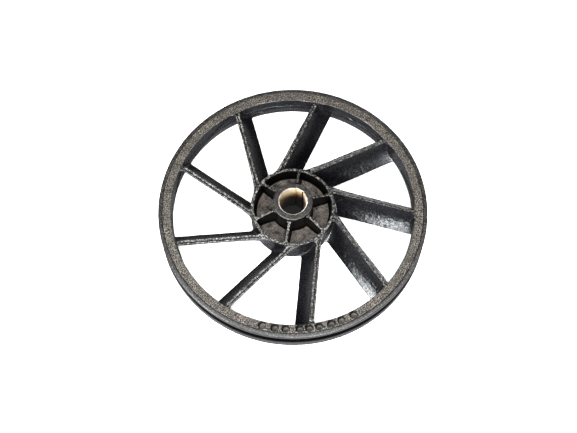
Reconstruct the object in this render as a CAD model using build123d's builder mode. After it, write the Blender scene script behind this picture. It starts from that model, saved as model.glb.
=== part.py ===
from build123d import *
import math
import os

# Cast-iron fan-bladed belt wheel of a small belt-driven compressor.
# It lies flat: +Z runs along the shaft towards the front, which is the longer end of the boss.
# The origin is on the shaft axis, in the plane of the back face. Lengths are in millimetres and
# angles in degrees, anticlockwise from +X as seen from the front.
# The wheel is one casting. It is divided here along the lines where its regions meet, so the
# regions touch face to face and none of them overlaps another.

# Rim
rim_outer_radius = 125.0
rim_width = 25.0
rim_depth = 12.0
rim_front_draft = 1.0
rim_back_draft = 2.3
rim_back_round = 1.5
rim_edge_round = 0.8

# Groove for one classical A-section belt, 13 mm wide at the top
groove_top_width = 13.0
groove_depth = 9.5
groove_angle = 38.0
front_land = 5.6

# Front face of the rim: a turned band outside, a raised as-cast band inside, and a fine turned
# line between them
turned_band = 4.2
turned_band_drop = 0.35
turned_line_width = 0.5
turned_line_depth = 0.4

# Balance drillings: shallow blind holes in the as-cast band, as (angle, depth of full diameter)
balance_hole_radius = 3.5
balance_hole_margin = 0.4
balance_hole_point_angle = 118.0
balance_holes = [
    (256.6, 0.2),
    (262.1, 2.0),
    (266.9, 2.0),
    (273.1, 2.2),
    (277.2, 2.0),
    (281.6, 2.0),
    (287.1, 1.6),
    (291.8, 1.2),
    (297.7, 0.8),
]

# Fan blades: each is a scoop drawn straight out beside the axis, leaning back from its front land
blade_count = 9
first_blade_angle = 25.0
blade_proud = 1.0
blade_front_offset = 28.9
blade_front_land = 4.7
blade_back_height = 1.0
blade_back_offset = 11.5
blade_back_land = 3.5
blade_toe_width = 2.5
blade_toe_height = 3.0
blade_scoop = 2.4
blade_bulge = 1.3
blade_edge_round = 0.8
blade_notch_length = 3.0
blade_notch_drop = 1.5

# Hub drum, the ring that carries the blades
drum_outer_radius = 38.9
drum_proud = 3.0
drum_front_wall = 2.8
drum_back_wall = 3.2
drum_root_wall = 4.1
drum_edge_round = 0.6

# Web between the drum and the boss
web_back_height = 9.7
web_thickness = 5.6

# Stiffening ribs in the front pocket of the hub
rib_count = 6
first_rib_angle = 20.0
rib_root_width = 3.8
rib_top_width = 2.4
rib_drop = 5.4

# Boss with a keyed bore for a 25 mm shaft
boss_length = 40.0
boss_wall = 5.75
boss_edge_round = 0.8
bore_radius = 12.5
bore_chamfer = 0.8
keyway_width = 8.0
keyway_depth = 0.3
keyway_angle = 60.0

# Places that follow from the sizes above
rim_inner_radius = rim_outer_radius - rim_depth
ridge_radius = rim_inner_radius - rim_front_draft
ridge_height = rim_width / 2
groove_taper = groove_depth * math.tan(math.radians(groove_angle / 2))
groove_bottom_radius = rim_outer_radius - groove_depth
groove_front = rim_width - front_land
groove_back = groove_front - groove_top_width
groove_floor_front = groove_front - groove_taper
groove_floor_back = groove_back + groove_taper
turned_radius = rim_outer_radius - turned_band
turned_height = rim_width - turned_band_drop
balance_circle_radius = rim_inner_radius + balance_hole_margin + balance_hole_radius
balance_point_depth = balance_hole_radius / math.tan(math.radians(balance_hole_point_angle / 2))
blade_front_height = rim_width + blade_proud
blade_notch_radius = rim_inner_radius - blade_notch_length
blade_notch_height = rim_width - blade_notch_drop
web_front_height = web_back_height + web_thickness
drum_height = rim_width + drum_proud
drum_pocket_radius = drum_outer_radius - drum_root_wall
boss_radius = bore_radius + boss_wall
rib_boss_height = boss_length - rib_drop


def wall_radius(height):
    """Radius of the rim's inner wall, which is drafted both ways from the ridge halfway up."""
    if height > ridge_height:
        return ridge_radius + rim_front_draft * (height - ridge_height) / (rim_width - ridge_height)
    return ridge_radius + rim_back_draft * (ridge_height - height) / ridge_height


def save(piece, name):
    """Label a finished piece and write it as the STEP file of the same name."""
    piece.label = name
    export_step(piece, f"parts/{name}.step")


os.makedirs("parts", exist_ok=True)

# ---- rim_front_flange: the front wall of the groove, with the rim's front face ----
with BuildPart() as rim_front_flange:
    with BuildSketch(Plane.XZ):
        with BuildLine():
            Polyline(
                (wall_radius(groove_floor_front), groove_floor_front),
                (groove_bottom_radius, groove_floor_front),
                (rim_outer_radius, groove_front),
                (rim_outer_radius, turned_height),
                (turned_radius + turned_line_width, turned_height),
                (turned_radius + turned_line_width, turned_height - turned_line_depth),
                (turned_radius, turned_height - turned_line_depth),
                (turned_radius, rim_width),
                (rim_inner_radius, rim_width),
                close=True,
            )
        make_face()
        fillet(vertices().group_by(Axis.X)[-1], radius=rim_edge_round)
    revolve(axis=Axis.Z)
    for hole_angle, hole_depth in balance_holes:
        with Locations(Plane.XY.offset(rim_width)):
            with PolarLocations(balance_circle_radius, 1, start_angle=hole_angle):
                Hole(radius=balance_hole_radius, depth=hole_depth)
        with Locations(Plane.XY.offset(rim_width - hole_depth)):
            with PolarLocations(balance_circle_radius, 1, start_angle=hole_angle):
                Cone(
                    bottom_radius=0,
                    top_radius=balance_hole_radius,
                    height=balance_point_depth,
                    align=(Align.CENTER, Align.CENTER, Align.MAX),
                    mode=Mode.SUBTRACT,
                )
save(rim_front_flange.part, "rim_front_flange")

# ---- rim_hoop: the band under the bottom of the groove, with the ridge inside it ----
with BuildPart() as rim_hoop:
    with BuildSketch(Plane.XZ):
        with BuildLine():
            Polyline(
                (wall_radius(groove_floor_back), groove_floor_back),
                (groove_bottom_radius, groove_floor_back),
                (groove_bottom_radius, groove_floor_front),
                (wall_radius(groove_floor_front), groove_floor_front),
                (ridge_radius, ridge_height),
                close=True,
            )
        make_face()
    revolve(axis=Axis.Z)
save(rim_hoop.part, "rim_hoop")

# ---- rim_back_flange: the back wall of the groove, with the rim's back face ----
with BuildPart() as rim_back_flange:
    with BuildSketch(Plane.XZ):
        with BuildLine():
            Polyline(
                (wall_radius(groove_floor_back), groove_floor_back),
                (wall_radius(0), 0),
                (rim_outer_radius, 0),
                (rim_outer_radius, groove_back),
                (groove_bottom_radius, groove_floor_back),
                close=True,
            )
        make_face()
        fillet(vertices().group_by(Axis.Y)[0].sort_by(Axis.X)[0], radius=rim_back_round)
        fillet(vertices().group_by(Axis.X)[-1], radius=rim_edge_round)
    revolve(axis=Axis.Z)
save(rim_back_flange.part, "rim_back_flange")

# ---- fan_blade_1 to fan_blade_9: scooped blades from the drum to the rim's inner wall ----
with BuildPart() as fan_blade:
    with BuildSketch(Plane.YZ):
        with BuildLine():
            front_lead = (blade_front_offset - blade_front_land, blade_front_height)
            front_trail = (blade_front_offset, blade_front_height)
            back_lead = (blade_back_offset, blade_back_height + blade_toe_height)
            back_toe = (blade_back_offset + blade_toe_width, blade_back_height)
            back_trail = (blade_back_offset + blade_toe_width + blade_back_land, blade_back_height)
            SagittaArc(back_lead, front_lead, -blade_scoop)
            Line(front_lead, front_trail)
            SagittaArc(front_trail, back_trail, blade_bulge)
            Line(back_trail, back_toe)
            Line(back_toe, back_lead)
        make_face()
        fillet(vertices(), radius=blade_edge_round)
    extrude(amount=rim_outer_radius)
    with BuildSketch(Plane.XZ):
        with BuildLine():
            Polyline(
                (drum_outer_radius, 0),
                (wall_radius(0), 0),
                (ridge_radius, ridge_height),
                (wall_radius(blade_notch_height), blade_notch_height),
                (blade_notch_radius, blade_notch_height),
                (blade_notch_radius, drum_height),
                (drum_outer_radius, drum_height),
                close=True,
            )
        make_face()
    revolve(axis=Axis.Z, mode=Mode.INTERSECT)

for index in range(blade_count):
    with BuildPart() as placed_blade:
        add(fan_blade.part, rotation=(0, 0, first_blade_angle + index * 360 / blade_count))
    save(placed_blade.part, f"fan_blade_{index + 1}")

# ---- hub_drum: the ring that carries the blades, open in front and behind the web ----
with BuildPart() as hub_drum:
    with BuildSketch(Plane.XZ):
        with BuildLine():
            Polyline(
                (drum_outer_radius - drum_back_wall, 0),
                (drum_outer_radius, 0),
                (drum_outer_radius, drum_height),
                (drum_outer_radius - drum_front_wall, drum_height),
                (drum_pocket_radius, web_front_height),
                (drum_pocket_radius, web_back_height),
                close=True,
            )
        make_face()
        fillet(vertices().group_by(Axis.Y)[-1], radius=drum_edge_round)
        fillet(vertices().group_by(Axis.Y)[0], radius=drum_edge_round)
    revolve(axis=Axis.Z)
save(hub_drum.part, "hub_drum")

# ---- hub_web: the disc between the drum and the boss ----
with BuildPart() as hub_web:
    with BuildSketch(Plane.XY.offset(web_back_height)):
        Circle(drum_pocket_radius)
        Circle(boss_radius, mode=Mode.SUBTRACT)
    extrude(amount=web_thickness)
save(hub_web.part, "hub_web")

# ---- hub_rib_1 to hub_rib_6: drafted ribs that fall from the boss to the drum's front edge ----
with BuildPart() as hub_rib:
    with BuildSketch(Plane.YZ):
        with BuildLine():
            Polyline(
                (-rib_root_width / 2, web_front_height),
                (rib_root_width / 2, web_front_height),
                (rib_top_width / 2, rib_boss_height),
                (-rib_top_width / 2, rib_boss_height),
                close=True,
            )
        make_face()
    extrude(amount=drum_outer_radius)
    with BuildSketch(Plane.XZ):
        with BuildLine():
            Polyline(
                (boss_radius, web_front_height),
                (drum_pocket_radius, web_front_height),
                (drum_outer_radius - drum_front_wall, drum_height),
                (boss_radius, rib_boss_height),
                close=True,
            )
        make_face()
    revolve(axis=Axis.Z, mode=Mode.INTERSECT)

for index in range(rib_count):
    with BuildPart() as placed_rib:
        add(hub_rib.part, rotation=(0, 0, first_rib_angle + index * 360 / rib_count))
    save(placed_rib.part, f"hub_rib_{index + 1}")

# ---- hub_boss: the bored and keyed boss that grips the shaft ----
with BuildPart() as hub_boss:
    with BuildSketch():
        Circle(boss_radius)
    extrude(amount=boss_length)
    fillet(edges().filter_by(GeomType.CIRCLE), radius=boss_edge_round)
    with BuildSketch():
        Circle(bore_radius)
    extrude(amount=boss_length, mode=Mode.SUBTRACT)
    bore_rims = edges().filter_by(GeomType.CIRCLE).filter_by(lambda edge: edge.radius < bore_radius + 0.01)
    chamfer(bore_rims, length=bore_chamfer)
    with BuildSketch(Plane.XY.rotated((0, 0, keyway_angle))):
        Rectangle(bore_radius + keyway_depth, keyway_width, align=(Align.MIN, Align.CENTER))
    extrude(amount=boss_length, mode=Mode.SUBTRACT)
save(hub_boss.part, "hub_boss")
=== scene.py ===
import math

import bpy
import numpy as np
from mathutils import Matrix, Vector


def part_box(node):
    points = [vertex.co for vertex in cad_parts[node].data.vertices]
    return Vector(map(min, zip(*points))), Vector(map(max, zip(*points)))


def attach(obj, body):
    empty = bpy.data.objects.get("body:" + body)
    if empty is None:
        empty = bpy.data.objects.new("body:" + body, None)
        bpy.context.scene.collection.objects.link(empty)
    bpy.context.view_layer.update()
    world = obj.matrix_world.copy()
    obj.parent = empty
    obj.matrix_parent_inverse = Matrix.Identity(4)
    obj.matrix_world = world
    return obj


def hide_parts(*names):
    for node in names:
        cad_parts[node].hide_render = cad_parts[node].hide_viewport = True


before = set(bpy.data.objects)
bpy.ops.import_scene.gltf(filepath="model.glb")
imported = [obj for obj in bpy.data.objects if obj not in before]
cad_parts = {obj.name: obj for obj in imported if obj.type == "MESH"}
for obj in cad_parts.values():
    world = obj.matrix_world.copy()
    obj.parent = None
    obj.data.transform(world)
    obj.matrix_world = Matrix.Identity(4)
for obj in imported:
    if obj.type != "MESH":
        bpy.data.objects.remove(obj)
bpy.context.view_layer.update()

# A cast-iron fan-bladed belt wheel, lying on its back face. The CAD nodes give its sizes, and each
# node is replaced here by its casting skin, with fillets, sand marks, a parting ledge and worn
# paint. +Z is the shaft axis, the front is up, lengths are in metres and angles in degrees.

mm = 0.001

# ---- sizes read from the frame ----
rim_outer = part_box("rim_front_flange")[1].x
rim_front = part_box("rim_front_flange")[1].z
groove_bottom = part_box("rim_hoop")[1].x
floor_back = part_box("rim_hoop")[0].z
floor_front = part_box("rim_hoop")[1].z
groove_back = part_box("rim_back_flange")[1].z
drum_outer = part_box("hub_drum")[1].x
drum_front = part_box("hub_drum")[1].z
web_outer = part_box("hub_web")[1].x
web_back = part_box("hub_web")[0].z
web_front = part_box("hub_web")[1].z
boss_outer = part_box("hub_boss")[1].x
boss_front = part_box("hub_boss")[1].z
rib_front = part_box("hub_rib_1")[1].z
blade_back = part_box("fan_blade_1")[0].z
blade_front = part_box("fan_blade_1")[1].z

# ---- rim ----
rim_inner = rim_outer - 12.0 * mm
front_draft = 1.0 * mm
back_draft = 2.3 * mm
groove_front = rim_front - 5.6 * mm
edge_round = 0.8 * mm
back_round = 1.5 * mm
turned_inner = rim_outer - 4.2 * mm
turned_height = rim_front - 0.35 * mm
turned_line = 0.8 * mm
turned_line_depth = 0.5 * mm
band_wave = 0.12 * mm
band_wave_size = 6 * mm
band_sink = 0.05 * mm
ridge_height = rim_front / 2
ridge_radius = rim_inner - front_draft

# The parting ledge on the inner wall falls from front to back across each window
ledge_step = 0.6 * mm
ledge_start = 24.5 * mm
ledge_fall = 0.68 * mm
ledge_lead = 12.0
ledge_lag = 11.0
ledge_lag_from = 60.0
ledge_past_blade = 10
ledge_waver = 0.5 * mm
ledge_waver_size = 9 * mm
ledge_softness = 0.7 * mm
wall_reach = 1.0 * mm

# Balance drillings in the front face
drill_radius = 3.5 * mm
drill_circle = rim_inner + 0.4 * mm + drill_radius
drill_point = 0.7 * mm

# Edge of each drilling, its raised lip, and the painted shade in a crescent inside it
drill_ragged = 0.03
drill_search = 0.5 * mm
lip_offset = 0.3 * mm
lip_width = 0.35 * mm
lip_height = 0.15 * mm
shade_shift = 1.2 * mm
shade_turn = 0.4
shade_reach = 0.82 * drill_radius

# Each drilling, as (angle, depth of the full diameter)
drillings = [
    (256.6, 0.2 * mm),
    (262.1, 2.0 * mm),
    (266.9, 2.0 * mm),
    (273.1, 2.2 * mm),
    (277.2, 2.0 * mm),
    (281.6, 2.0 * mm),
    (287.1, 1.6 * mm),
    (291.8, 1.2 * mm),
    (297.7, 0.8 * mm),
]

# ---- blades, measured across from the line through the axis ----
blade_count = 9
first_blade = 25.0
blade_pitch = 360 / blade_count
front_trail = 28.9 * mm
front_lead = front_trail - 4.7 * mm
back_lead = 11.5 * mm
back_trail = back_lead + 6.0 * mm
toe_width = 2.5 * mm
toe_height = 3.0 * mm
scoop_power = 2.2
bulge = 1.3 * mm
land_dip = 0.5 * mm

# The shallow dip along the land, the raised lip before the notch, and the notch itself
dip_start = 1.6 * mm
dip_end = 2.7 * mm
dip_first_drop = 0.1 * mm
lip_rise = 0.35 * mm
lip_back = 0.9 * mm
lip_spread = 0.7 * mm
notch_slope = 0.6 * mm
crown_depth = 6 * mm

# Length of a blade, and of the stretches at its ends with closer points
blade_run = 76 * mm
blade_near_hub = 9 * mm
blade_near_rim = 8 * mm
blade_wave = 0.25 * mm
blade_wave_size = 14 * mm
fillet_share = 0.12
lowest = 0.2 * mm
notch_radius = rim_inner - 3.0 * mm
notch_height = rim_front - 1.5 * mm
hub_fillet = 4.5 * mm
rim_fillet = 2.6 * mm
root_swell = 1.6 * mm
root_swell_length = 12.0 * mm

# ---- hub ----
drum_front_inner = drum_outer - 2.8 * mm
drum_back_inner = drum_outer - 3.2 * mm
drum_round = 0.6 * mm
drum_wave = 0.18 * mm
drum_wave_size = 9 * mm
web_wave = 0.25 * mm
web_wave_size = 5 * mm
web_fillet = 2.6 * mm
fillet_lap = 0.4 * mm
fillet_shade_from = 0.25 * mm
rib_count = 6
first_rib = 20.0
rib_root = 3.8 * mm
rib_top = 2.4 * mm
rib_fillet = 1.8 * mm
rib_crown = 0.25 * mm
rib_end_gap = 0.3 * mm
rib_corner_drop = 0.35 * mm
bore = 12.5 * mm
bore_chamfer = 0.8 * mm
key_half_width = 4.0 * mm
key_floor = 12.8 * mm
key_angle = 60.0
# Painted shade beside the key slot, in degrees from the slot's middle
key_shade_middle = -14.5
key_shade_width = 9.0

# Height of the rubbed ring at the boss's front edge
boss_lip = 1.4 * mm

# How far a skin runs on into its neighbour, so that no gap shows between them
tuck = 0.6 * mm

# Spacing of the points along each outline, and in degrees round the axis
rim_step = 0.75 * mm
cast_band_step = 0.36 * mm
drum_step = 0.6 * mm
web_step = 0.7 * mm
boss_step = 0.8 * mm
blade_step = 0.62 * mm
land_step = 0.4 * mm
rim_turn = 0.45
front_turn = 0.52
drilled_turn = 0.17
drilled_from = 251.5
drilled_to = 302.5
drum_turn = 1.0
web_turn = 1.1
boss_turn = 0.6

# Depth of the sand marks on each finish
sand_depth = {
    "cast_skin": 0.10 * mm,
    "black_paint": 0.11 * mm,
    "worn_edge": 0.10 * mm,
    "pocket_floor": 0.16 * mm,
    "groove_paint": 0.05 * mm,
    "pocket_paint": 0.08 * mm,
    "turned_iron": 0.0,
    "drilled_iron": 0.0,
    "machined_face": 0.0,
    "oiled_bore": 0.0,
    "bright_edge": 0.0,
}


# ======================================================================================
# Finishes
# ======================================================================================

def put(tree, kind, inputs, **settings):
    """One shader node with its settings, its input values and its links from other sockets."""
    node = tree.nodes.new("ShaderNode" + kind)
    for key, value in settings.items():
        setattr(node, key, value)
    for socket, value in inputs.items():
        if isinstance(value, bpy.types.NodeSocket):
            tree.links.new(value, node.inputs[socket])
        else:
            node.inputs[socket].default_value = value
    return node


def noise(tree, size, detail=3.0, rough=0.55, squeeze=(1, 1, 1)):
    """Noise on Object coordinates whose lumps are about the given size in metres."""
    place = put(tree, "TexCoord", {}).outputs["Object"]
    place = put(tree, "Mapping", {"Vector": place, "Scale": squeeze}).outputs["Vector"]
    inputs = {"Vector": place, "Scale": 1 / size, "Detail": detail, "Roughness": rough}
    return put(tree, "TexNoise", inputs).outputs["Fac"]


def ramp(tree, value, stops):
    """Colour ramp through (position, (red, green, blue)) stops."""
    node = put(tree, "ValToRGB", {"Fac": value})
    line = node.color_ramp
    while len(line.elements) < len(stops):
        line.elements.new(0.5)
    for element, (position, colour) in zip(line.elements, stops):
        element.position = position
        element.color = (*colour, 1)
    return node.outputs["Color"]


def spread(tree, value, low, high, to_low, to_high):
    """Value taken from the range low..high to the range to_low..to_high, and held there."""
    inputs = {"Value": value, "From Min": low, "From Max": high, "To Min": to_low, "To Max": to_high}
    return put(tree, "MapRange", inputs).outputs["Result"]


def blend(tree, factor, first, second, way="MIX"):
    """Two colours blended by a factor."""
    node = put(tree, "Mix", {0: factor, 6: first, 7: second}, data_type="RGBA", blend_type=way)
    return node.outputs[2]


def bump(tree, height, depth, under=None):
    """Bump of the given depth in metres, on top of another bump's normal if one is given."""
    inputs = {"Height": height, "Strength": 1.0, "Distance": depth}
    if under:
        inputs["Normal"] = under
    return put(tree, "Bump", inputs).outputs["Normal"]


def lathe_lines(tree, width):
    """Noise of the radius alone, which draws fine circles about the axis."""
    place = put(tree, "TexCoord", {}).outputs["Object"]
    flat = put(tree, "VectorMath", {0: place, 1: (1, 1, 0)}, operation="MULTIPLY").outputs["Vector"]
    radius = put(tree, "VectorMath", {0: flat}, operation="LENGTH").outputs["Value"]
    inputs = {"W": radius, "Scale": 1 / width, "Detail": 3.0, "Roughness": 0.7}
    return put(tree, "TexNoise", inputs, noise_dimensions="1D").outputs["Fac"]


def finish_of(tree, colour, rough, normal, metal=0.0, gloss=0.5):
    """Set a material's shader from its colour, roughness and normal sockets."""
    shader = tree.nodes["Principled BSDF"]
    tree.links.new(colour, shader.inputs["Base Color"])
    tree.links.new(rough, shader.inputs["Roughness"])
    tree.links.new(normal, shader.inputs["Normal"])
    shader.inputs["Metallic"].default_value = metal
    shader.inputs["Specular IOR Level"].default_value = gloss


def new_material(name):
    """A material with an empty principled shader, and its node tree."""
    material = bpy.data.materials.new(name)
    material.use_nodes = True
    return material, material.node_tree


def cast_skin():
    """Sand-cast iron under thin worn paint: light sand grains on a dark grey-brown ground."""
    material, tree = new_material("cast_skin")
    sand = noise(tree, 0.8 * mm, 3, 0.6)
    patches = noise(tree, 9 * mm, 3)
    ground = ramp(tree, sand, [(0.42, (0.001, 0.001, 0.001)), (0.50, (0.009, 0.0083, 0.0075)),
                               (0.59, (0.150, 0.137, 0.123))])
    tint = ramp(tree, patches, [(0.35, (0.76, 0.75, 0.72)), (0.65, (1.12, 1.09, 1.04))])
    colour = blend(tree, 1.0, ground, tint, "MULTIPLY")
    rough = spread(tree, sand, 0.3, 0.7, 0.42, 0.62)
    normal = bump(tree, sand, 0.30 * mm)
    finish_of(tree, colour, rough, normal, gloss=0.22)
    return material


def black_paint():
    """Gloss black paint over a sandy casting: nearly black, with the sand standing through."""
    material, tree = new_material("black_paint")
    sand = noise(tree, 1.0 * mm, 2, 0.6)
    colour = ramp(tree, sand, [(0.45, (0.0020, 0.0020, 0.0024)), (0.62, (0.006, 0.006, 0.007)),
                               (0.72, (0.060, 0.060, 0.064))])
    rough = spread(tree, sand, 0.44, 0.58, 0.34, 0.08)
    normal = bump(tree, sand, 0.15 * mm)
    finish_of(tree, colour, rough, normal, gloss=0.42)
    return material


def pocket_paint():
    """Black paint made darker and nearly unreflecting as painted shade: on the walls of the hub's
    pockets, in the belt groove, inside the drillings and beside the key slot.
    """
    material, tree = new_material("pocket_paint")
    sand = noise(tree, 1.2 * mm, 3, 0.6)
    colour = ramp(tree, sand, [(0.45, (0.0015, 0.0014, 0.0013)), (0.65, (0.004, 0.0037, 0.0035)),
                               (0.76, (0.035, 0.033, 0.031))])
    rough = spread(tree, sand, 0.3, 0.7, 0.28, 0.38)
    normal = bump(tree, sand, 0.10 * mm)
    finish_of(tree, colour, rough, normal, gloss=0.06)
    return material


def worn_edge():
    """Narrow edges where the paint is thin: a darker cast skin with light rubbed grains."""
    material, tree = new_material("worn_edge")
    sand = noise(tree, 1.2 * mm, 4, 0.65)
    patches = noise(tree, 6 * mm, 3)
    ground = ramp(tree, sand, [(0.42, (0.002, 0.002, 0.002)), (0.51, (0.015, 0.0145, 0.014)),
                               (0.60, (0.17, 0.164, 0.156))])
    tint = ramp(tree, patches, [(0.35, (0.65, 0.65, 0.65)), (0.65, (1.2, 1.18, 1.15))])
    colour = blend(tree, 1.0, ground, tint, "MULTIPLY")
    rough = spread(tree, patches, 0.3, 0.7, 0.24, 0.36)
    normal = bump(tree, sand, 0.32 * mm)
    finish_of(tree, colour, rough, normal, gloss=0.25)
    return material


def pocket_floor():
    """Floor of the hub's pockets: brown-grey burnt sand with coarse lumps."""
    material, tree = new_material("pocket_floor")
    sand = noise(tree, 1.3 * mm, 4, 0.6)
    patches = noise(tree, 8 * mm, 4, 0.6)
    ground = ramp(tree, sand, [(0.36, (0.040, 0.035, 0.031)), (0.50, (0.088, 0.078, 0.069)),
                               (0.68, (0.17, 0.152, 0.136))])
    tint = ramp(tree, patches, [(0.36, (0.10, 0.09, 0.085)), (0.45, (0.70, 0.68, 0.65)),
                                (0.62, (1.12, 1.06, 1.01))])
    colour = blend(tree, 1.0, ground, tint, "MULTIPLY")
    rough = spread(tree, patches, 0.3, 0.7, 0.45, 0.7)
    normal = bump(tree, sand, 0.35 * mm)
    finish_of(tree, colour, rough, normal, gloss=0.4)
    return material


def groove_paint():
    """Smooth black paint in the belt groove and on the rim's outer lands."""
    material, tree = new_material("groove_paint")
    specks = noise(tree, 1.0 * mm, 3, 0.6)
    patches = noise(tree, 10 * mm, 3, squeeze=(1, 1, 2))
    colour = ramp(tree, specks, [(0.45, (0.0035, 0.0034, 0.0034)), (0.70, (0.035, 0.034, 0.033))])
    rough = spread(tree, patches, 0.3, 0.7, 0.12, 0.20)
    normal = bump(tree, specks, 0.06 * mm)
    finish_of(tree, colour, rough, normal, gloss=0.25)
    return material


def turned_iron():
    """Turned flange band: dark glossy grey with fine circles from the tool."""
    material, tree = new_material("turned_iron")
    lines = lathe_lines(tree, 0.35 * mm)
    specks = noise(tree, 1.0 * mm, 4, 0.7)
    ground = ramp(tree, specks, [(0.38, (0.002, 0.0019, 0.0017)), (0.52, (0.010, 0.0092, 0.0083)),
                                 (0.68, (0.09, 0.083, 0.073))])
    colour = blend(tree, 0.2, ground, ramp(tree, lines, [(0.3, (0.006, 0.006, 0.006)),
                                                        (0.7, (0.06, 0.06, 0.06))]))
    rough = spread(tree, specks, 0.3, 0.7, 0.16, 0.26)
    normal = bump(tree, specks, 0.10 * mm, bump(tree, lines, 0.03 * mm))
    finish_of(tree, colour, rough, normal, gloss=0.45)
    return material


def drilled_iron():
    """Inside of the balance drillings: dark paint over cut iron."""
    material, tree = new_material("drilled_iron")
    specks = noise(tree, 1.0 * mm, 4, 0.7)
    colour = ramp(tree, specks, [(0.4, (0.010, 0.009, 0.0078)), (0.7, (0.070, 0.062, 0.053))])
    rough = spread(tree, specks, 0.3, 0.7, 0.40, 0.55)
    normal = bump(tree, specks, 0.25 * mm)
    finish_of(tree, colour, rough, normal, gloss=0.45)
    return material


def machined_face():
    """Faced end of the boss: mottled grey iron with faint tool circles."""
    material, tree = new_material("machined_face")
    lines = lathe_lines(tree, 0.45 * mm)
    mottle = noise(tree, 2.2 * mm, 5, 0.65)
    patches = noise(tree, 8 * mm, 2)
    ground = ramp(tree, mottle, [(0.35, (0.004, 0.0036, 0.0033)), (0.54, (0.013, 0.0118, 0.0105)),
                                 (0.70, (0.060, 0.055, 0.048))])
    tint = ramp(tree, patches, [(0.35, (0.7, 0.7, 0.7)), (0.65, (1.15, 1.14, 1.1))])
    colour = blend(tree, 1.0, ground, tint, "MULTIPLY")
    rough = spread(tree, mottle, 0.3, 0.7, 0.36, 0.52)
    normal = bump(tree, mottle, 0.14 * mm, bump(tree, lines, 0.04 * mm))
    finish_of(tree, colour, rough, normal, gloss=0.4)
    return material


def oiled_bore():
    """Bored and oiled iron, straw gold in front, with painted light and shade: cream on the +X
    side as painted light, and red-brown to nearly black deeper in as painted shade, the gold
    reaching deeper on the -X side, with an uneven edge between them."""
    material, tree = new_material("oiled_bore")
    blotches = noise(tree, 6 * mm, 4, 0.6)
    specks = noise(tree, 1.2 * mm, 3, 0.6)
    place = put(tree, "TexCoord", {}).outputs["Object"]
    place = put(tree, "SeparateXYZ", {"Vector": place}).outputs
    # Painted shade: straw gold darkens to nearly black deeper in the bore, with an uneven edge, less deep
    # on the -X side
    uneven = spread(tree, blotches, 0.3, 0.7, -5 * mm, 5 * mm)
    level = put(tree, "Math", {0: place["Z"], 1: uneven}, operation="ADD").outputs["Value"]
    level = put(tree, "Math", {0: place["X"], 1: -0.5, 2: level}, operation="MULTIPLY_ADD")
    level = level.outputs["Value"]
    lit = spread(tree, level, 10 * mm, 34 * mm, 0.0, 1.0)
    gold = ramp(tree, lit, [(0.0, (0.003, 0.0025, 0.0025)), (0.30, (0.014, 0.007, 0.005)),
                            (0.50, (0.075, 0.036, 0.015)), (0.70, (0.17, 0.108, 0.052)),
                            (1.0, (0.22, 0.175, 0.115))])
    # Painted light: the bore wall on the +X side turns cream
    side = spread(tree, place["X"], 10.0 * mm, 11.5 * mm, 0.0, 0.85)
    gold = blend(tree, side, gold, (0.42, 0.34, 0.24, 1))
    light = ramp(tree, specks, [(0.35, (0.75, 0.73, 0.70)), (0.65, (1.1, 1.1, 1.1))])
    colour = blend(tree, 1.0, gold, light, "MULTIPLY")
    rough = spread(tree, blotches, 0.3, 0.7, 0.38, 0.5)
    normal = bump(tree, specks, 0.08 * mm)
    finish_of(tree, colour, rough, normal, gloss=0.4)
    return material


def bright_edge():
    """Clean metal of the bore's chamfer: pale cream, partly a painted highlight, with a few grey
    nicks, and painted shade on its +Y half.
    """
    material, tree = new_material("bright_edge")
    nicks = noise(tree, 2.0 * mm, 3, 0.6)
    # Pale cream, partly a painted highlight on the chamfer ring
    colour = ramp(tree, nicks, [(0.36, (0.10, 0.09, 0.08)), (0.52, (0.60, 0.54, 0.48)),
                                (0.70, (0.85, 0.80, 0.75))])
    place = put(tree, "TexCoord", {}).outputs["Object"]
    # Painted shade: the chamfer turns dark brown towards its +Y half
    shaded_far_half = put(tree, "SeparateXYZ", {"Vector": place}).outputs["Y"]
    shaded_far_half = spread(tree, shaded_far_half, -2 * mm, 7 * mm, 0.0, 0.85)
    colour = blend(tree, shaded_far_half, colour, (0.09, 0.075, 0.06, 1))
    rough = spread(tree, nicks, 0.3, 0.7, 0.30, 0.42)
    normal = bump(tree, nicks, 0.06 * mm)
    finish_of(tree, colour, rough, normal)
    return material


finishes = {
    "cast_skin": cast_skin(),
    "black_paint": black_paint(),
    "pocket_paint": pocket_paint(),
    "worn_edge": worn_edge(),
    "pocket_floor": pocket_floor(),
    "groove_paint": groove_paint(),
    "turned_iron": turned_iron(),
    "drilled_iron": drilled_iron(),
    "machined_face": machined_face(),
    "oiled_bore": oiled_bore(),
    "bright_edge": bright_edge(),
}


# ======================================================================================
# Shapes
# ======================================================================================

def grain(points, size, seed):
    """Smooth random field from -1 to 1: seeded values on a cubic lattice of the given spacing,
    blended between the eight corners of a cell by 3t^2 - 2t^3 along each axis."""
    table = np.random.default_rng(seed).uniform(-1, 1, (32, 32, 32))
    cell = np.floor(points / size).astype(int)
    part = points / size - cell
    part = part * part * (3 - 2 * part)
    total = np.zeros(points.shape[:-1])
    for corner in np.ndindex(2, 2, 2):
        weight = np.where(np.array(corner, bool), part, 1 - part).prod(-1)
        total += weight * table[tuple(np.moveaxis((cell + corner) % 32, -1, 0))]
    return total


def sand_marks(points, depth, size=1.7 * mm, seed=11):
    """Points moved by one grain field for each axis, so that skins which share an edge stay
    together: point + depth * (grain_x, grain_y, grain_z)."""
    moves = np.stack([grain(points, size, seed + axis) for axis in range(3)], -1)
    return points + depth[..., None] * moves


def soft_step(value, width):
    """Step from 0 to 1 about zero: t = value / width + 1/2, held between 0 and 1, then
    3t^2 - 2t^3."""
    part = np.clip(value / width + 0.5, 0, 1)
    return part * part * (3 - 2 * part)


def fillet_rise(distance, radius):
    """Height of a quarter-round fillet at a distance from its wall: R - sqrt(R^2 - (R - d)^2),
    nearly R at the wall and zero past the fillet."""
    short = np.clip(radius - distance, 0, radius * 0.97)
    return radius - np.sqrt(radius ** 2 - short ** 2)


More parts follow.
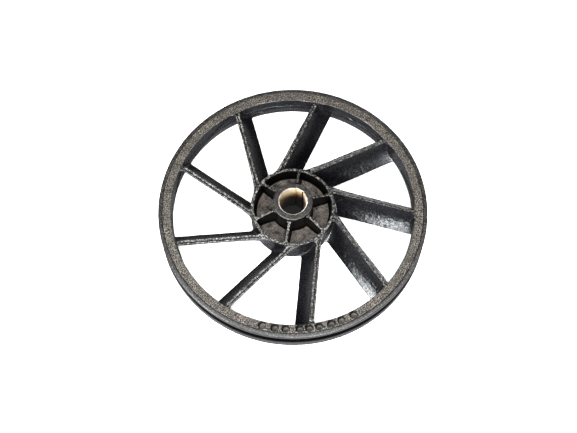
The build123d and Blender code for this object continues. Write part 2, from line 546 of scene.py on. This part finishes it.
def outline(corners, step, fine=None):
    """Closed outline through corners (a, b, round, finish), taken anticlockwise. A rounded corner
    is the parabola (1-t)^2 P + 2t(1-t) C + t^2 Q through its two tangent points, and an edge is cut
    into equal steps, shorter ones where its finish is in fine. Returns the points, their outward
    normals and the finish of the segment after each."""
    places = np.array([corner[:2] for corner in corners])
    onward = np.roll(places, -1, 0) - places
    lengths = np.linalg.norm(onward, axis=1)
    onward = onward / lengths[:, None]
    turns = np.arccos(np.clip((np.roll(onward, 1, 0) * onward).sum(1), -1, 1))
    trims = np.array([corner[2] for corner in corners]) * np.tan(turns / 2)
    points, names = [], []
    for index, (_, _, radius, finish) in enumerate(corners):
        cut = (fine or {}).get(finish, step)
        start = places[index] + onward[index] * trims[index]
        if radius:
            first = places[index] - onward[index - 1] * trims[index]
            count = max(4, round(2 * trims[index] / cut))
            part = np.linspace(0, 1, count, endpoint=False)[:, None]
            curve = (1 - part) ** 2 * first + 2 * part * (1 - part) * places[index] + part ** 2 * start
            points.append(curve)
            names += [corners[index - 1][3]] * (count // 2) + [finish] * (count - count // 2)
        following = (index + 1) % len(corners)
        end = places[following] - onward[index] * trims[following]
        count = max(1, round(np.linalg.norm(end - start) / cut))
        part = np.linspace(0, 1, count, endpoint=False)[:, None]
        points.append(start + part * (end - start))
        names += [finish] * count
    points = np.concatenate(points)
    tangent = np.roll(points, -1, 0) - np.roll(points, 1, 0)
    normals = np.stack([tangent[:, 1], -tangent[:, 0]], -1)
    return points, normals / np.linalg.norm(normals, axis=1)[:, None], np.array(names)


def depth_along(names):
    """Sand depth at each point of an outline: the lesser of its two segments' depths."""
    depth = np.array([sand_depth[name] for name in names])
    return np.minimum(depth, np.roll(depth, 1))


def make_piece(node, grid, names, ring):
    """The mesh of a grid of points (row, loop, xyz) in place of a CAD node. Each row is a closed
    loop. The rows close into a ring, or else one face closes each end. names gives the finish of
    each face as (row, loop)."""
    rows, loop = grid.shape[:2]
    index = np.arange(rows * loop).reshape(rows, loop)
    here, there = (index, np.roll(index, -1, 0)) if ring else (index[:-1], index[1:])
    corners = [here, there, np.roll(there, -1, 1), np.roll(here, -1, 1)]
    if not ring:
        corners.reverse()
    faces = np.stack(corners, -1).reshape(-1, 4).tolist()
    if not ring:
        faces += [index[0, ::-1].tolist(), index[-1].tolist()]
    mesh = bpy.data.meshes.new(node + "_skin")
    mesh.from_pydata(grid.reshape(-1, 3), [], faces)
    used = sorted(set(names.reshape(-1).tolist()))
    for name in used:
        mesh.materials.append(finishes[name])
    numbers = np.zeros(len(faces), int)
    numbers[: names.size] = np.searchsorted(used, names.reshape(-1))
    mesh.polygons.foreach_set("material_index", numbers)
    mesh.polygons.foreach_set("use_smooth", np.ones(len(faces), bool))
    mesh.update()
    piece = bpy.data.objects.new(node + "_skin", mesh)
    bpy.context.scene.collection.objects.link(piece)
    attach(piece, "root")
    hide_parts(node)


def around(points, angles):
    """Outline points (radius, height) carried round the axis. Returns the angles, radii and
    heights as one array each, (row, loop)."""
    shape = (len(angles), len(points))
    angle = np.broadcast_to(np.radians(angles)[:, None], shape)
    return angle, np.broadcast_to(points[:, 0], shape).copy(), np.broadcast_to(points[:, 1], shape).copy()


def on_axis(angle, radius, height):
    """Points x = r cos(angle), y = r sin(angle), z = height."""
    return np.stack([radius * np.cos(angle), radius * np.sin(angle), height], -1)


def wall_radius(height):
    """Radius of the rim's inner wall: straight drafts both ways from the ridge halfway up."""
    front = ridge_radius + front_draft * (height - ridge_height) / (rim_front - ridge_height)
    back = ridge_radius + back_draft * (ridge_height - height) / ridge_height
    return np.where(height > ridge_height, front, back)


def parting_ledge(angle, radius, height):
    """Radii with the inner wall standing in by the ledge step below the parting line. The line's
    height falls steadily with the angle from each blade to the next, and the fall comes earlier
    on one side of the wheel, by a cosine."""
    turned = np.degrees(angle)
    lag = ledge_lag * (1 - np.cos(np.radians(turned - ledge_lag_from)))
    across = (turned - first_blade - ledge_past_blade) % blade_pitch - ledge_lead
    line = ledge_start - ledge_fall * (across + lag)
    line = line + ledge_waver * grain(on_axis(angle, radius, height), ledge_waver_size, 21)
    on_wall = 1 - soft_step(radius - wall_radius(height) - wall_reach, wall_reach)
    return radius - ledge_step * on_wall * soft_step(line - height, ledge_softness)


def rim_ring(corners, angles, fine=None):
    """A region of the rim: its outline carried round the axis, with the parting ledge on its inner
    wall."""
    points, _, names = outline(corners, rim_step, fine)
    angle, radius, height = around(points, angles)
    radius = parting_ledge(angle, radius, height)
    return angle, radius, height, names


def within_rim(grid):
    """Points drawn in to the rim's outer radius where they stand outside it."""
    radius = np.hypot(grid[..., 0], grid[..., 1])
    grid[..., :2] *= np.minimum(1, rim_outer / radius)[..., None]
    return grid


def rim_front_flange():
    """Front wall of the groove with the rim's front face: turned band, turned line and as-cast
    band, and the balance drillings, each a cylinder with a cone below it: the depth at a distance
    d from the hole's middle is its full depth + (1 - d / R) * point depth. Painted shade in
    near-black paint fills a crescent on the +Y side of each, outside a circle that stands off
    towards -Y."""
    plain = np.arange(drilled_to - 360, drilled_from, front_turn)
    angles = np.concatenate([plain, np.arange(drilled_from, drilled_to, drilled_turn)])
    # The groove's front wall takes the near-black pocket paint as painted shade
    corners = [
        (wall_radius(floor_front), floor_front, 0, "groove_paint"),
        (groove_bottom, floor_front, 0, "pocket_paint"),
        (rim_outer, groove_front, edge_round, "groove_paint"),
        (rim_outer, turned_height, edge_round, "turned_iron"),
        (turned_inner + turned_line, turned_height, 0.15 * mm, "turned_iron"),
        (turned_inner + 0.7 * turned_line, turned_height - turned_line_depth, 0, "black_paint"),
        (turned_inner + 0.3 * turned_line, turned_height - turned_line_depth, 0, "black_paint"),
        (turned_inner, rim_front, 0.35 * mm, "cast_skin"),
        (rim_inner, rim_front, 0.9 * mm, "black_paint"),
    ]
    angle, radius, height, names = rim_ring(corners, angles, {"cast_skin": cast_band_step})
    place = on_axis(angle, radius, height)
    cast = names == "cast_skin"
    cast = cast & np.roll(cast, 1)
    height[:, cast] += band_wave * grain(place[:, cast], band_wave_size, 5) - band_sink
    drilled = np.zeros(angle.shape, bool)
    shaded_crescent = np.zeros(angle.shape, bool)
    for hole_angle, hole_depth in drillings:
        turn = math.radians(hole_angle)
        away = np.hypot(place[..., 0] - drill_circle * math.cos(turn),
                        place[..., 1] - drill_circle * math.sin(turn))
        # Painted shade: a near-black crescent on the +Y side of each drilling, outside a circle shifted
        # towards -Y
        from_unshaded_middle = np.hypot(place[..., 0] - drill_circle * math.cos(turn) - shade_turn * shade_shift,
                              place[..., 1] - drill_circle * math.sin(turn) + shade_shift)
        away = away * (1 + drill_ragged * grain(place, 2 * mm, 31))
        inside = (away < drill_radius) & (height > rim_front - drill_search)
        shaded_crescent |= inside & (from_unshaded_middle > shade_reach)
        height -= inside * (hole_depth + (1 - away / drill_radius) * drill_point)
        lip = np.exp(-((away - drill_radius - lip_offset) / lip_width) ** 2)
        height += lip_height * lip * cast * ~inside
        drilled |= inside
    beside = np.stack([drilled, np.roll(drilled, -1, 1)])
    beside = np.concatenate([beside, np.roll(beside, -1, 1)])
    # Faces beside a drilling take the near-black painted shade; the floor outside the crescent is drilled
    # iron
    face_names = np.where(beside.any(0) & cast, "pocket_paint", names[None, :])
    face_names = np.where(beside.all(0) & cast & ~shaded_crescent, "drilled_iron", face_names)
    grid = sand_marks(on_axis(angle, radius, height), depth_along(names) * ~drilled)
    make_piece("rim_front_flange", within_rim(grid), face_names, ring=True)


def rim_hoop():
    """Band under the bottom of the groove, with the ridge inside it."""
    # The groove's floor takes the near-black pocket paint as painted shade
    corners = [
        (wall_radius(floor_back), floor_back, 0, "groove_paint"),
        (groove_bottom, floor_back, 0, "pocket_paint"),
        (groove_bottom, floor_front, 0, "groove_paint"),
        (wall_radius(floor_front), floor_front, 0, "black_paint"),
        (ridge_radius, ridge_height, 2 * mm, "black_paint"),
    ]
    angle, radius, height, names = rim_ring(corners, np.arange(0, 360, rim_turn))
    grid = sand_marks(on_axis(angle, radius, height), depth_along(names))
    make_piece("rim_hoop", grid, np.tile(names, (len(grid), 1)), ring=True)


def rim_back_flange():
    """Back wall of the groove, with the rim's back face."""
    # The groove's back wall takes the near-black pocket paint as painted shade
    corners = [
        (wall_radius(floor_back), floor_back, 0, "black_paint"),
        (wall_radius(0.0), 0.0, back_round, "cast_skin"),
        (rim_outer, 0.0, edge_round, "groove_paint"),
        (rim_outer, groove_back, edge_round, "pocket_paint"),
        (groove_bottom, floor_back, 0, "groove_paint"),
    ]
    angle, radius, height, names = rim_ring(corners, np.arange(0, 360, rim_turn))
    grid = sand_marks(on_axis(angle, radius, height), depth_along(names))
    grid[..., 2] = np.maximum(grid[..., 2], 0)
    make_piece("rim_back_flange", within_rim(grid), np.tile(names, (len(grid), 1)), ring=True)


def hub_drum():
    """Ring that carries the blades, with a slightly uneven front edge."""
    # The drum's inner wall takes the near-black pocket paint as painted shade
    corners = [
        (drum_back_inner, 0.0, drum_round, "cast_skin"),
        (drum_outer, 0.0, drum_round, "black_paint"),
        (drum_outer, drum_front, drum_round, "worn_edge"),
        (drum_front_inner, drum_front, drum_round, "pocket_paint"),
        (web_outer, web_front, 0, "pocket_paint"),
        (web_outer, web_back, 0, "black_paint"),
    ]
    points, _, names = outline(corners, drum_step)
    angle, radius, height = around(points, np.arange(0, 360, drum_turn))
    place = on_axis(angle, radius, height)
    radius += drum_wave * grain(place, drum_wave_size, 41)
    grid = sand_marks(on_axis(angle, radius, height), depth_along(names))
    grid[..., 2] = np.maximum(grid[..., 2], 0)
    make_piece("hub_drum", grid, np.tile(names, (len(grid), 1)), ring=True)


def hub_web():
    """Disc between the drum and the boss, with a fillet at each of its four roots."""
    rise = web_fillet + fillet_lap
    corners = [
        (boss_outer - tuck, web_back - rise, 0, "pocket_floor"),
        (boss_outer, web_back - rise, 0, "pocket_floor"),
        (boss_outer, web_back, web_fillet, "pocket_floor"),
        (web_outer + 0.1 * mm, web_back, web_fillet, "pocket_floor"),
        (web_outer + 0.4 * mm, web_back - rise, 0, "pocket_floor"),
        (web_outer + 1.4 * mm, web_back - rise, 0, "pocket_floor"),
        (web_outer + 1.4 * mm, web_front + rise, 0, "pocket_floor"),
        (web_outer + 0.3 * mm, web_front + rise, 0, "pocket_floor"),
        (web_outer, web_front, web_fillet, "pocket_floor"),
        (boss_outer, web_front, web_fillet, "pocket_floor"),
        (boss_outer, web_front + rise, 0, "pocket_floor"),
        (boss_outer - tuck, web_front + rise, 0, "pocket_floor"),
    ]
    points, _, names = outline(corners, web_step)
    # Painted shade: the web's fillets and the walls above them take the near-black pocket paint
    names[points[:, 1] > web_front + fillet_shade_from] = "pocket_paint"
    angle, radius, height = around(points, np.arange(0, 360, web_turn))
    place = on_axis(angle, radius, height)
    height += web_wave * grain(place, web_wave_size, 51)
    grid = sand_marks(on_axis(angle, radius, height), depth_along(names))
    make_piece("hub_web", grid, np.tile(names, (len(grid), 1)), ring=True)


def hub_boss():
    """Boss with its keyed bore. The bore's radius is the larger of the bore itself and the key
    slot, which is the nearer of its floor, floor / cos(a), and its side, half width / sin(a). The
    ring between bore and outside is stretched to meet it. Painted shade in near-black paint runs
    down one side of the slot."""
    # The boss's outer wall takes the near-black pocket paint as painted shade
    corners = [
        (bore, 0.0, 0, "machined_face"),
        (boss_outer, 0.0, edge_round, "pocket_paint"),
        (boss_outer, boss_front - boss_lip, 0, "worn_edge"),
        (boss_outer, boss_front, edge_round, "machined_face"),
        (bore + bore_chamfer, boss_front, 0, "bright_edge"),
        (bore, boss_front - bore_chamfer, 0, "oiled_bore"),
    ]
    points, _, names = outline(corners, boss_step)
    angle, radius, height = around(points, np.arange(0, 360, boss_turn))
    turn = angle - math.radians(key_angle)
    facing = np.cos(turn) > 0
    floor = key_floor / np.maximum(np.cos(turn), 0.1)
    side = key_half_width / np.maximum(np.abs(np.sin(turn)), 0.01)
    slot = np.where(facing, np.maximum(bore, np.minimum(floor, side)), bore)
    radius = boss_outer - (boss_outer - radius) * (boss_outer - slot) / (boss_outer - bore)
    grid = sand_marks(on_axis(angle, radius, height), depth_along(names))
    face_names = np.tile(names, (len(grid), 1))
    # Painted shade: near-black paint down the bore wall beside one side of the key slot
    key_shaded = np.abs(np.degrees(turn[:, 0]) - key_shade_middle) < key_shade_width / 2
    face_names[key_shaded[:, None] & (face_names == "oiled_bore")] = "pocket_paint"
    make_piece("hub_boss", grid, face_names, ring=True)


def along_blade(length):
    """Stations from 0 to 1 along a blade, closer together at its hub and rim ends."""
    near_hub = np.linspace(0, blade_near_hub, 18, endpoint=False)
    middle = np.linspace(blade_near_hub, length - blade_near_rim, 72, endpoint=False)
    near_rim = np.linspace(length - blade_near_rim, length, 21)
    return np.concatenate([near_hub, middle, near_rim]) / length


def lay_out(along, across, height, angle):
    """Points at a distance along a direction and across to its left: along * d + across * n."""
    turn = math.radians(angle)
    x = along * math.cos(turn) - across * math.sin(turn)
    y = along * math.sin(turn) + across * math.cos(turn)
    return np.stack([x, y, height], -1)


def fan_blade(number):
    """One blade: its section carried from the drum to the rim's inner wall. Each line along it
    runs from sqrt(R^2 - w^2) on the drum to the same on the wall, w being its distance across.
    The scooped face falls away from its front edge as (drop / height)^2.2, the back bows by
    4t(1-t) times the bulge, fillets thicken both ends, the back swells towards the hub by an
    exponential, and the land drops at the notch."""
    corners = [
        (back_lead + toe_width, blade_back, 0.8 * mm, "black_paint"),
        (back_trail, blade_back, 1.2 * mm, "black_paint"),
        (front_trail, blade_front, 0.9 * mm, "worn_edge"),
        (front_trail - dip_start, blade_front - dip_first_drop, 0.3 * mm, "black_paint"),
        (front_trail - dip_end, blade_front - land_dip, 0.3 * mm, "worn_edge"),
        (front_lead, blade_front, 0.8 * mm, "black_paint"),
        (back_lead, blade_back + toe_height, 0.8 * mm, "worn_edge"),
    ]
    points, normals, names = outline(corners, blade_step, {"worn_edge": land_step})
    stations = along_blade(blade_run)[:, None]
    across, height = points[None, :, 0], points[None, :, 1]
    normal_across, normal_up = normals[None, :, 0], normals[None, :, 1]
    lift = np.clip((height - blade_back) / (blade_front - blade_back), 0, 1)
    drop = np.clip((blade_front - height) / (blade_front - blade_back - toe_height), 0, 1)
    scoop = (front_lead - back_lead) * (drop - drop ** scoop_power)
    on_back = soft_step(normal_across, 0.6)
    across = across + scoop * (1 - on_back) + 4 * lift * (1 - lift) * bulge * on_back
    from_hub = stations * blade_run - tuck
    from_rim = (1 - stations) * blade_run - tuck
    thicken = fillet_rise(from_hub, hub_fillet) + fillet_rise(from_rim, rim_fillet)
    swell = root_swell * np.exp(-np.maximum(from_hub, 0) / root_swell_length) * on_back
    across = across + normal_across * (thicken + swell)
    height = height + normal_up * thicken * fillet_share
    start = np.sqrt((drum_outer - tuck) ** 2 - across ** 2)
    end = np.sqrt((wall_radius(height) + tuck) ** 2 - across ** 2)
    along = start + stations * (end - start)
    radius = np.hypot(along, across)
    lip = lip_rise * np.exp(-((radius - notch_radius + lip_back) / lip_spread) ** 2)
    notch = (blade_front - notch_height) * soft_step(radius - notch_radius, notch_slope)
    crown = blade_front + lip - notch
    base = blade_front - crown_depth
    scaled = base + (height - base) * (crown - base) / (blade_front - base)
    height = np.where(height > base, scaled, height)
    turn = first_blade + (number - 1) * blade_pitch
    place = lay_out(along, across, height, turn)
    away = normal_across * blade_wave * grain(place, blade_wave_size, 60 + number)
    place = lay_out(along, across + away, height, turn)
    grid = sand_marks(place, depth_along(names))
    grid[..., 2] = np.maximum(grid[..., 2], lowest)
    face_names = np.tile(names, (len(grid) - 1, 1))
    make_piece(f"fan_blade_{number}", grid, face_names, ring=False)


def hub_rib(number):
    """One rib: a drafted section carried from the boss to the drum, with its top falling in a
    straight line between them and fillets along its root and at both ends. Its top corners drop by
    the sixth power of the distance from the middle."""
    # The rib's sides take the near-black pocket paint as painted shade
    corners = [
        (-1.0, 0.0, 0, "pocket_floor"),
        (1.0, 0.0, 0, "pocket_paint"),
        (1.0, 1.0, 0, "worn_edge"),
        (-1.0, 1.0, 0, "pocket_paint"),
    ]
    points, _, names = outline(corners, 0.07, {"worn_edge": 0.2})
    stations = np.linspace(0, 1, 40)[:, None]
    side, lift = points[None, :, 0], points[None, :, 1]
    start, end = boss_outer - tuck, drum_front_inner + 0.5 * tuck
    along = start + stations * (end - start)
    top = rib_front + (drum_front - rib_front) * stations - web_front + rib_crown
    base = web_front - tuck
    height = base + lift * (top + tuck)
    above = height - web_front
    half = (rib_root + (rib_top - rib_root) * lift) / 2
    flare = fillet_rise(above, rib_fillet) + fillet_rise(along - boss_outer, rib_fillet)
    flare = flare + fillet_rise(end - along - rib_end_gap, rib_fillet)
    corner_drop = rib_corner_drop * np.abs(side) ** 6 * (lift > 0.999)
    across = side * (half + flare)
    inner = np.minimum(along, np.sqrt(np.maximum((end + 0.5 * tuck) ** 2 - across ** 2, 0)))
    place = lay_out(inner, across, height - corner_drop, first_rib + (number - 1) * 360 / rib_count)
    grid = sand_marks(place, depth_along(names))
    face_names = np.tile(names, (len(grid) - 1, 1))
    make_piece(f"hub_rib_{number}", grid, face_names, ring=False)


rim_front_flange()
rim_hoop()
rim_back_flange()
for blade_number in range(1, blade_count + 1):
    fan_blade(blade_number)
hub_drum()
hub_web()
for rib_number in range(1, rib_count + 1):
    hub_rib(rib_number)
hub_boss()


# ======================================================================================
# Floor, light and camera
# ======================================================================================

def floor():
    """A pale sheet under the wheel that glows a little, so that its shadow stays soft. It is
    darker where only reflections meet it, and painted shade makes it dark under the bore."""
    material, tree = new_material("pale_floor")
    glow = 0.3
    cloud = noise(tree, 0.4, 2)
    shader = tree.nodes["Principled BSDF"]
    pale = ramp(tree, cloud, [(0.3, (0.90, 0.90, 0.90)), (0.7, (0.92, 0.92, 0.92))])
    place = put(tree, "TexCoord", {}).outputs["Object"]
    from_axis = put(tree, "VectorMath", {0: place}, operation="LENGTH").outputs["Value"]
    # Painted shade: the floor goes dark within about 15 mm of the axis, under the bore
    outside_bore_shade = spread(tree, from_axis, 15 * mm, 16 * mm, 0.0, 1.0)
    pale = blend(tree, outside_bore_shade, (0.03, 0.03, 0.032, 1), pale)
    seen = put(tree, "LightPath", {}).outputs["Is Camera Ray"]
    colour = blend(tree, seen, (0.16, 0.16, 0.165, 1), pale)
    tree.links.new(colour, shader.inputs["Base Color"])
    tree.links.new(colour, shader.inputs["Emission Color"])
    shader.inputs["Emission Strength"].default_value = glow
    shader.inputs["Roughness"].default_value = 0.9
    shader.inputs["Specular IOR Level"].default_value = 0.1
    marks = 13
    reach = np.linspace(-3, 3, marks)
    x, y = np.meshgrid(reach, reach, indexing="ij")
    index = np.arange(marks * marks).reshape(marks, marks)
    faces = np.stack([index[:-1, :-1], index[1:, :-1], index[1:, 1:], index[:-1, 1:]], -1)
    mesh = bpy.data.meshes.new("floor")
    mesh.from_pydata(np.stack([x, y, 0 * x], -1).reshape(-1, 3), [], faces.reshape(-1, 4).tolist())
    mesh.materials.append(material)
    sheet = bpy.data.objects.new("floor", mesh)
    bpy.context.scene.collection.objects.link(sheet)


def softbox(name, place, target, size, power, colour=(1, 1, 1)):
    """A rectangular area light at a place, facing a target."""
    light = bpy.data.lights.new(name, "AREA")
    light.color = colour
    light.shape = "RECTANGLE"
    light.size, light.size_y = size
    light.energy = power
    lamp = bpy.data.objects.new(name, light)
    lamp.location = place
    lamp.rotation_euler = (Vector(target) - Vector(place)).to_track_quat("-Z", "Y").to_euler()
    bpy.context.scene.collection.objects.link(lamp)


def dim_room(strength):
    """An even, dim white room."""
    world = bpy.data.worlds.new("room")
    world.use_nodes = True
    world.node_tree.nodes["Background"].inputs["Color"].default_value = (1, 1, 1, 1)
    world.node_tree.nodes["Background"].inputs["Strength"].default_value = strength
    bpy.context.scene.world = world


def camera():
    """The camera: above the near side, looking down at 67 degrees."""
    lens = bpy.data.cameras.new("camera")
    lens.lens = 71.05
    lens.sensor_width = 36
    eye = bpy.data.objects.new("camera", lens)
    tilt = Matrix.Rotation(math.radians(22.85), 4, "X") @ Matrix.Rotation(math.radians(0.234), 4, "Z")
    eye.matrix_world = Matrix.Translation((-0.0040, -0.4174, 0.9946)) @ tilt
    bpy.context.scene.collection.objects.link(eye)
    bpy.context.scene.camera = eye


floor()
dim_room(0.04)
softbox("overhead_softbox", place=(0, -0.22, 1.0), target=(0, -0.22, 0), size=(1.4, 0.9), power=24)
softbox("front_softbox", place=(0.2, -1.1, 0.55), target=(0, 0, 0.02), size=(0.85, 0.5), power=50,
        colour=(0.95, 0.98, 1.0))
softbox("left_softbox", place=(-0.9, -0.63, 0.5), target=(0, 0, 0.02), size=(0.6, 0.45), power=40,
        colour=(0.95, 0.98, 1.0))
camera()
bpy.context.scene.view_settings.view_transform = "Standard"
bpy.context.scene.view_settings.look = "Medium High Contrast"
